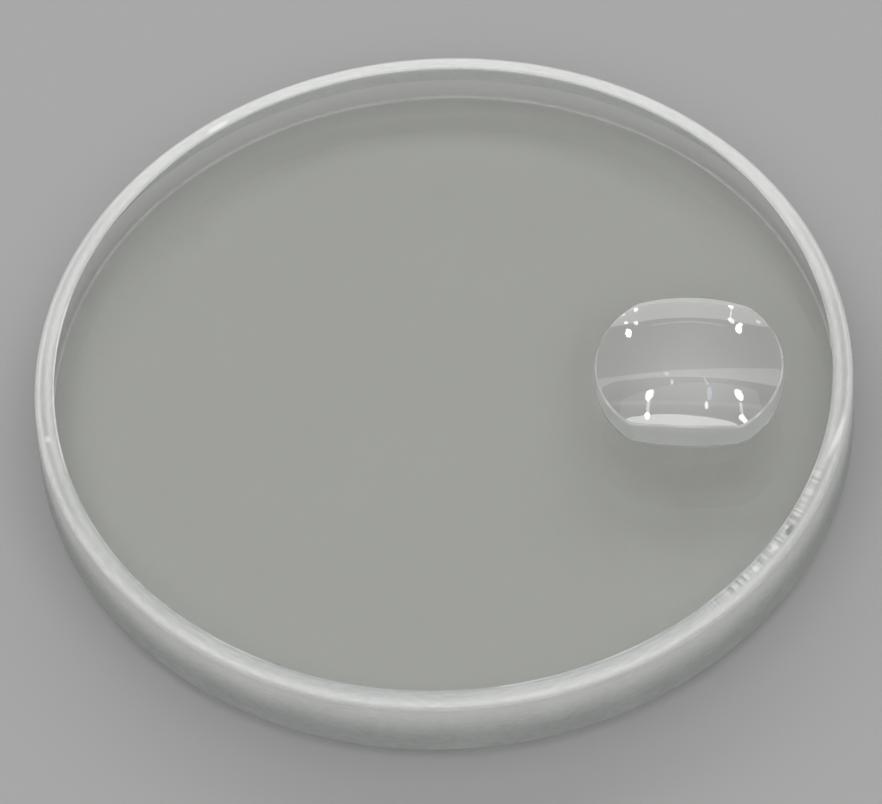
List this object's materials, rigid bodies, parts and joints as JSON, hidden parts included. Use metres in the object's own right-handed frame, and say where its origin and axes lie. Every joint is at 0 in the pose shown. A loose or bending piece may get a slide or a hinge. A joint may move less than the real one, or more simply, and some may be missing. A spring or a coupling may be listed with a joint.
{
  "type": "watch crystal",
  "caption": "Flat round watch crystal with polished faces, a shallow top bevel, a frosted rim and a small domed date magnifier cemented off centre.",
  "frame": {"origin": "centre of the flat underside", "axes": "+Z out through the polished top face, +X from the disc's centre towards the date lens"},
  "size_m": [0.0305, 0.0304, 0.005],
  "materials": {
    "crystal_glass": "clear polished faces and top bevel, frosted ground wall and bottom bevel",
    "optical_cement": "clear cured cement film",
    "lens_glass": "clear polished dome and ground walls"
  },
  "bodies": {
    "root": {"crystal_disc": "crystal_glass", "lens_adhesive": "optical_cement", "date_lens": "lens_glass"}
  },
  "joints": []
}
